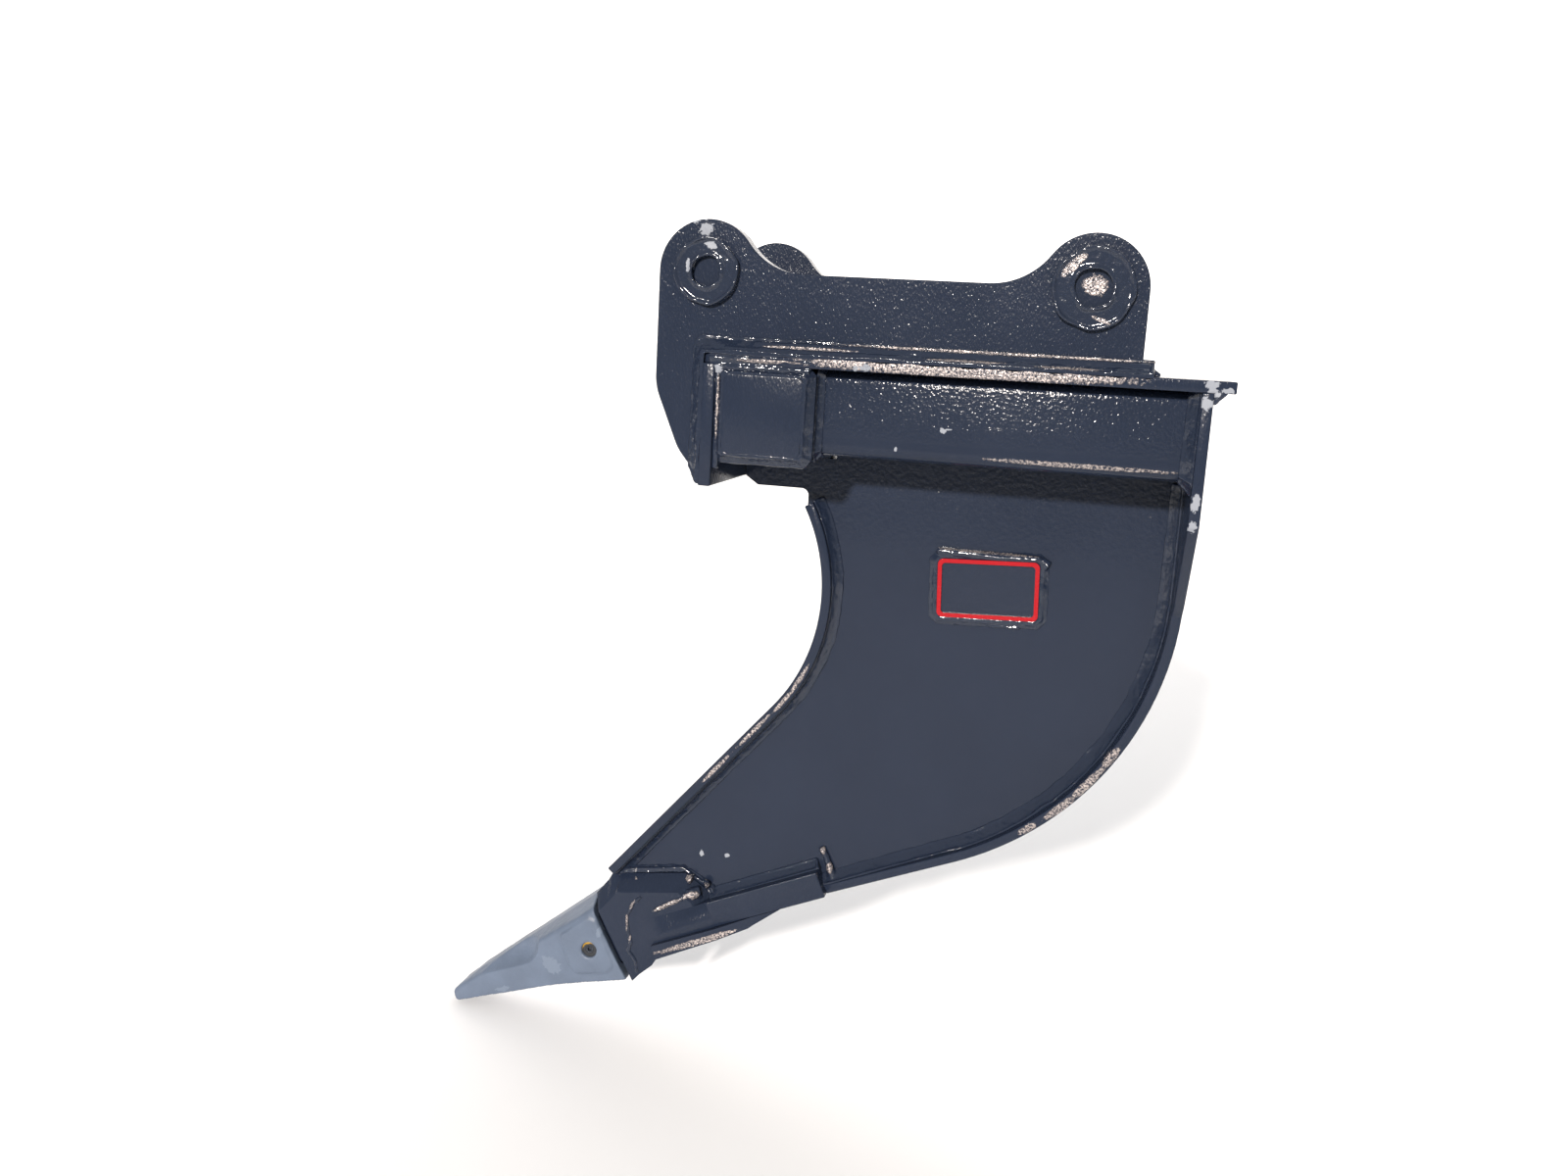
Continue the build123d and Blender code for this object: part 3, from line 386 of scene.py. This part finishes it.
def moulded_polymer(name):
    """Moulded yellow polyurethane: a soft broad sheen, and a dark grey patch over its lower side."""
    material, tree, shader, place = new_material(name)
    surface, cloud = clouded(tree, place, "#B38A12", size=6, swing=0.15)
    # Dark grey patch over the sleeve's lower side; the yellow shows only above it.
    dark_lower_patch = spots(tree, place, [((-162, -46, -914), (15, 20, 13))], ragged=0.3)
    surface = blend(tree, "RGBA", dark_lower_patch, surface, srgb("#23262B"))
    tree.links.new(surface, shader.inputs["Base Color"])
    relief = add(tree, "ShaderNodeBump", {
        "Height": cloud, "Strength": 1.0, "Distance": 0.2 * MM}).outputs["Normal"]
    tree.links.new(relief, shader.inputs["Normal"])
    shader.inputs["Roughness"].default_value = 0.45
    return material


def plated_steel(name):
    """Dark phosphated forging: metallic, nearly black, with a broad dull sheen and faint tool marks."""
    material, tree, shader, place = new_material(name)
    surface, cloud = clouded(tree, place, "#4A4E55", size=5, swing=0.3)
    tree.links.new(surface, shader.inputs["Base Color"])
    relief = add(tree, "ShaderNodeBump", {
        "Height": cloud, "Strength": 1.0, "Distance": 0.3 * MM}).outputs["Normal"]
    tree.links.new(relief, shader.inputs["Normal"])
    shader.inputs["Metallic"].default_value = 1.0
    shader.inputs["Roughness"].default_value = 0.38
    return material


# ---------------------------------------------------------------- studio
def studio():
    """Pale floor with a curved back."""
    floor_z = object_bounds()[0][2] - 0.004
    bm = bmesh.new()
    front = bm.edges.new([bm.verts.new((x, -6, floor_z)) for x in (-8, 8)])
    edge = extrude_row(bm, [front], (0, 9, 0))
    row = edge + list({v for e in edge for v in e.verts})
    swept = bmesh.ops.spin(bm, geom=row, cent=(0, 3, floor_z + 1.5),
                           axis=(1, 0, 0), angle=math.radians(90), steps=12)
    last = [g for g in swept["geom_last"] if isinstance(g, bmesh.types.BMEdge)]
    extrude_row(bm, last, (0, 0, 6))
    bmesh.ops.recalc_face_normals(bm, faces=bm.faces)
    mesh = bpy.data.meshes.new("studio_floor")
    bm.to_mesh(mesh)
    bm.free()
    mesh.shade_smooth()
    floor = bpy.data.objects.new("studio_floor", mesh)
    bpy.context.scene.collection.objects.link(floor)
    material, _, shader, _ = new_material("matt white studio paper")
    shader.inputs["Base Color"].default_value = srgb("#F6F7F8")
    shader.inputs["Roughness"].default_value = 0.95
    floor.data.materials.append(material)
    floor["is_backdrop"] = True


def extrude_row(bm, edges, by):
    """Pull a row of edges out by a vector, and give the new row."""
    grown = bmesh.ops.extrude_edge_only(bm, edges=edges)["geom"]
    verts = [g for g in grown if isinstance(g, bmesh.types.BMVert)]
    bmesh.ops.translate(bm, vec=by, verts=verts)
    return [g for g in grown if isinstance(g, bmesh.types.BMEdge) and all(v in verts for v in g.verts)]


def place_light(name, kind, power, colour, place, target, **settings):
    """A light at a place, turned to a target."""
    light = bpy.data.lights.new(name, kind)
    light.energy = power
    light.color = srgb(colour)[:3]
    for key, value in settings.items():
        setattr(light, key, value)
    holder = bpy.data.objects.new(name, light)
    holder.location = place
    holder.rotation_euler = (Vector(target) - Vector(place)).to_track_quat("-Z", "Y").to_euler()
    bpy.context.scene.collection.objects.link(holder)


def lighting():
    """A warm key from over the viewer's shoulder, and a cool overhead panel behind the part."""
    middle = Vector((0.2, 0.0, -0.45))
    travel = Vector((0.11, 0.93, -0.33))
    place_light("key", "SUN", 4.7, "#FFF6EE", middle - travel * 3, middle, angle=math.radians(3))
    place_light("overhead", "AREA", 34, "#F4F8FF", middle + Vector((0.3, 1.6, 3.4)),
                middle + Vector((0, 1.2, 0)), size=3.5)
    world = bpy.data.worlds.new("studio")
    world.use_nodes = True
    world.node_tree.nodes["Background"].inputs["Color"].default_value = srgb("#FFFFFF")
    world.node_tree.nodes["Background"].inputs["Strength"].default_value = 0.35
    bpy.context.scene.world = world
    bpy.context.scene.view_settings.view_transform = "Standard"


def camera():
    """The eye stands low, ahead of the left side."""
    data = bpy.data.cameras.new("camera")
    data.sensor_width = 36.0
    data.lens = 30.2984
    eye = bpy.data.objects.new("camera", data)
    eye.location = (0.45897, -1.64397, -0.07668)
    eye.rotation_euler = Euler([math.radians(a) for a in (79.53957, -3.19516, 13.90978)], "XYZ")
    bpy.context.scene.collection.objects.link(eye)
    bpy.context.scene.camera = eye


# ---------------------------------------------------------------- wear
# Each patch has its centre and radii in millimetres and, if it is turned about Y, its angle in degrees.
def both_sides(*patches):
    """Patches given for the right side, on the left one and on the right."""
    return [((x, side * y, z), radii, turn) for side in (-1, 1) for (x, y, z), radii, turn in patches]


# Rubbed through to primer: round the coupler pins, on the head's corners, the strap, the tube and the web.
LOBE_CHIPS = [((-3, -170, 47), (8, 9, 7)), ((-24, -160, 57), (20, 20, 4)), ((4, -177, 29), (8, 6, 4)),
              ((-21, -177, 6), (3, 6, 9))]
HEAD_CHIPS = [((17, -184, -109), (8, 12, 7)), ((192, -185, -97), (6, 8, 5)), ((180, -185, -99), (3, 8, 4)),
              ((560, -185, -93), (8, 9, 5)), ((562, -185, -102), (6, 9, 6)), ((576, -185, -99), (7, 9, 3))]
STRAP_CHIPS = [((556, -185, -113), (7, 8, 7)), ((556, -185, -218), (5, 8, 10)),
               ((555, -185, -244), (5, 8, 6))]
TUBE_CHIPS = [((280, -160, -162), (3.5, 5, 3)), ((286, -160, -160), (4, 5, 1.0)),
              ((228, -160, -186), (1.5, 5, 2))]
WEB_CHIPS = [((-17.4, -25, -757), (2.5, 4, 6)), ((18.3, -25, -755), (4, 4, 2.5))]
TOOTH_SCUFFS = [((-222, -45, -946), (15, 20, 12), 30), ((-150, -45, -880), (4, 20, 12), 20),
                ((-300, -45, -1000), (14, 20, 4), -24)]

# Painted highlights, as pale metallic steel: on the top plate's, strap's and flange's cut edges, the sole,
# the tube's lower corner, the rear pin's end and the crowns of weld runs.
DECK_PAINTED_HIGHLIGHTS = both_sides(((300, 185, -94), (190, 6, 9), 0))
STRAP_PAINTED_HIGHLIGHTS = both_sides(((500, 66, -542), (18, 22, 5.5), -59), ((476, 66, -579), (30, 22, 5.5), -53),
                         ((445, 66, -617), (28, 22, 5.5), -46), ((408, 66, -650), (16, 22, 5.5), -39))
FLANGE_PAINTED_HIGHLIGHTS = both_sides(((107, 45, -497), (26, 4, 3), -62), ((88, 45, -527), (22, 4, 3), -54),
                          ((50, 45, -572), (34, 4, 3), -50), ((2, 45, -629), (30, 4, 3), -50))
SOLE_PAINTED_HIGHLIGHTS = both_sides(((3, 60, -863), (80, 6, 4.5), -24.5))
TUBE_PAINTED_HIGHLIGHTS = both_sides(((430, 160, -190), (110, 7, 3), 0))
PIN_PAINTED_HIGHLIGHTS = [((431, -172, 3), (14, 8, 12))]
HEAD_WELD_PAINTED_HIGHLIGHTS = both_sides(
    ((330, 171, -73.5), (185, 7, 1.6), 0), ((125, 176, -80), (62, 7, 1.8), 0),
    ((300, 179, -84), (50, 7, 1.8), 0), ((410, 181, -85), (34, 7, 1.4), 0),
    ((80, 184, -97), (42, 7, 2.5), 0), ((407, 176, 23), (19, 7, 5), -45),
    ((441, 176, -33), (14, 7, 2.5), 20), ((22, 183, -150), (2, 7, 40), 0))
SHANK_WELD_PAINTED_HIGHLIGHTS = both_sides(
    ((-108, 34, -807), (14, 7, 7), 0), ((-104, 52, -833), (2.5, 7, 9), 20),
    ((-111, 52, -860), (2, 7, 14), 0), ((-106, 52, -884), (2, 7, 9), 20),
    ((-28, 37, -791), (9, 7, 6), 20), ((-22, 49, -810), (13, 7, 7), -25),
    ((-6, 38, -796), (6, 7, 4), 0), ((-54, 51, -826), (25, 7, 3.5), -31),
    ((-68, 48, -814), (26, 7, 1.8), -13), ((150, 32, -724), (4, 7, 6), 0),
    ((160, 33, -748), (5, 7, 8), 0)) + [((332, -31, -313), (60, 6, 1.8))]

# ---------------------------------------------------------------- finishes
plate_gloss = paint("two-pack gloss on plate")
web_gloss = paint("two-pack gloss on the shank's web", peel=0.75, grain=4.5, slant=0, fade=(-330, -255),
                  primer=WEB_CHIPS)
ear_gloss = paint("two-pack gloss on the ears", peel=0.6, grain=2.6, primer=LOBE_CHIPS)
deck_gloss = paint("two-pack gloss on the torch-cut top plate", peel=0.5, primer=HEAD_CHIPS,
                   painted_highlights=DECK_PAINTED_HIGHLIGHTS)
strap_gloss = paint("two-pack gloss on the torch-cut strap", primer=STRAP_CHIPS, painted_highlights=STRAP_PAINTED_HIGHLIGHTS)
flange_gloss = paint("two-pack gloss on the torch-cut flange", painted_highlights=FLANGE_PAINTED_HIGHLIGHTS)
tube_gloss = paint("two-pack gloss with heavy orange peel", peel=0.85, grain=4.0, slant=0, fade=(-178, -158),
                   primer=TUBE_CHIPS, painted_highlights=TUBE_PAINTED_HIGHLIGHTS)
pin_gloss = paint("two-pack gloss on pin ends", painted_highlights=PIN_PAINTED_HIGHLIGHTS)
# Two finishes for the welds, because a shader with all their patches in one is too large to run.
head_weld_gloss = paint("two-pack gloss over weld runs", peel=0.5, grain=5.0, slant=0, rough=0.11,
                        gloss=0.55, primer=LOBE_CHIPS + HEAD_CHIPS, painted_highlights=HEAD_WELD_PAINTED_HIGHLIGHTS)
shank_weld_gloss = paint("two-pack gloss over weld runs of the shank", peel=0.5, grain=5.0, slant=0,
                         rough=0.11, gloss=0.55, painted_highlights=SHANK_WELD_PAINTED_HIGHLIGHTS)
cast_gloss = paint("two-pack gloss on a steel casting", peel=0.6, grain=5.0, painted_highlights=SOLE_PAINTED_HIGHLIGHTS)
satin = cast_satin("satin paint on a cast point")
enamel = badge_enamel("enamel on the name plate")
polymer = moulded_polymer("yellow polyurethane of the lock sleeve")
forged = plated_steel("phosphated steel of the lock pin")

for node in nodes.values():
    node.data.materials.clear()
    node.data.materials.append(plate_gloss)
for name in ("front_pin", "rear_pin"):
    nodes[name].data.materials[0] = pin_gloss
nodes["web"].data.materials[0] = web_gloss
nodes["name_plate"].data.materials[0] = enamel
nodes["lock_sleeve"].data.materials[0] = polymer
nodes["lock_pin"].data.materials[0] = forged


# ---------------------------------------------------------------- head
# Passes of the weld between an ear and the top plate, round the corner and down the tube's cap.
EAR_RUNS = [
    [(60, 172.5, -80.1, 5.5), (492, 172.5, -80.1, 5.5), (507, 174, -88, 3.5)],
    [(30, 178.5, -87, 5.5), (500, 178.5, -87, 5)],
    [(10, 177.5, -95.5, 7.5), (131, 177.5, -95.5, 7.5)],
    [(12, 177, -105, 7.5), (128, 177, -105, 7)],
    [(21, 178, -100, 6), (22, 178, -160, 5), (21, 177, -222, 4.5)]]


def set_back_edge(bm):
    """Top plate's edge stands back where the weld over the cross tube's end covers it."""
    bmesh.ops.bisect_plane(bm, geom=[*bm.verts, *bm.edges, *bm.faces],
                           plane_co=(0.136, 0, 0), plane_no=(1, 0, 0))
    for vert in bm.verts:
        if vert.co.x < 0.135 and abs(vert.co.y) > 0.18:
            vert.co.y *= 180 / 185


eased("top_plate", deck_gloss, change=set_back_edge)
eased("front_plate", plate_gloss, width=2.0)
eased("cross_tube", tube_gloss)
for side, sign in (("_left", -1), ("_right", 1)):
    nodes["ear" + side].data.materials[0] = ear_gloss
    bead("ear_weld" + side, head_weld_gloss, roll=2.0, depth=1.5, size=16, seed=sign,
         runs=on_side(sign, EAR_RUNS))
    for pin in ("front_pin", "rear_pin"):
        bead(pin + "_weld" + side, head_weld_gloss, roll=2.2, voxel=1.0, rounds=3, depth=0.6, size=18,
             seed=2 * sign + len(pin))
    bead("cap_weld" + side, head_weld_gloss, voxel=1.5)
    bead("tube_weld" + side, head_weld_gloss, voxel=1.5, roll=1.3)
    eased("side_tube" + side, tube_gloss)
    eased("tube_cap" + side, plate_gloss)
bead("deck_weld", head_weld_gloss, voxel=2.0)


# ---------------------------------------------------------------- shank
# Lumps where the strap's weld ends by the lip plate.
STRAP_RUNS = [[(147, 28, -723, 5), (154, 28, -735, 4.5), (162, 29, -754, 6), (166, 30, -770, 5)]]
# Starts and stops of the toe's welds, and the adapter's weld that wanders down its collar.
TOE_RUNS = [
    [(-122, 29, -814, 4), (-104, 31, -807, 8), (-88, 30, -803, 5)],
    [(-34, 31, -791, 6), (-26, 33, -793, 9)],
    [(-32, 42, -811, 8), (-23, 40, -811, 11), (-13, 36, -806, 9)],
    [(-9, 33, -797, 8), (-3, 30, -796, 5)],
    [(-30, 45, -812, 7), (-56, 48, -827, 5.5), (-77, 50, -840, 2.5)],
    [(-94, 47, -820, 2.4), (-69, 47, -815, 2.4), (-42, 46, -808, 3)],
    [(-92, 50.5, -821, 2.6), (-103, 50.5, -832, 2.8), (-111, 50.5, -852, 2.6), (-109, 50.5, -873, 2.8),
     (-104, 50.5, -889, 2.6), (-108, 50.5, -901, 3.0), (-97, 50.5, -914, 2.6), (-94, 50.5, -931, 2.6)]]
# Passes over, behind and under the name plate.
NAME_PLATE_RUNS = [
    [(268, -28, -316, 5), (309, -28, -317, 5), (345, -28, -318.5, 5), (395, -28, -316.5, 5)],
    [(395, -27, -317, 5), (405, -27, -324, 7)],
    [(273, -26, -403, 2), (300, -26, -405, 2)],
    [(340, -26, -405, 2), (376, -26, -404, 2.5)]]


def behind_the_jaw(bm):
    """Lip plate cut where the adapter's upper leg ends, so that only what stands free is eased."""
    bmesh.ops.bisect_plane(bm, geom=[*bm.verts, *bm.edges, *bm.faces],
                           plane_co=FOOT + FORWARD * LEG_U * MM, plane_no=FORWARD)


def in_the_jaw(edge):
    """Edge of the lip plate that the adapter's two legs hold."""
    return all(toe_uv(v.co)[0] > LEG_U - 1 for v in edge.verts)


def jaw_edge(edge):
    """Edge of the adapter's slot, flush with the lip plate."""
    along = [toe_uv(v.co) for v in edge.verts]
    return all(u < LIP_L + 1 and -1 < v < LIP_T + 1 for u, v in along)


eased("back_strap", strap_gloss)
eased("front_flange", flange_gloss)
eased("lip_plate", plate_gloss, skip=in_the_jaw, change=behind_the_jaw)
for side, sign in (("_left", -1), ("_right", 1)):
    bead("strap_weld" + side, shank_weld_gloss, voxel=1.6, depth=0.9, size=18, seed=sign,
         runs=on_side(sign, STRAP_RUNS))
    bead("flange_weld" + side, shank_weld_gloss, voxel=1.6, depth=0.8, size=18, seed=sign)
    bead("lip_weld" + side, shank_weld_gloss, voxel=1.5)
    bead("toe_weld" + side, shank_weld_gloss, voxel=1.0, rounds=1, depth=1.4, size=9,
         runs=on_side(sign, TOE_RUNS))
bead("name_plate_weld", shank_weld_gloss, voxel=1.2, rounds=2, roll=0.6, depth=0.8, runs=NAME_PLATE_RUNS)
eased("adapter", cast_gloss, width=2.5, skip=jaw_edge, sharp=20)


# ---------------------------------------------------------------- tooth
def casting(name, material, body):
    """A casting's corners washed soft by the mould."""
    even = voxelled(merged_copy(name), 1.5)
    relax(even, 2)
    ruffle(even, 0.5, 22)
    ruffle(even, 0.15, 6)
    finish(even, name + "_casting", material, name, body, sharp=180)


casting("tooth", satin, body="point")

studio()
lighting()
camera()
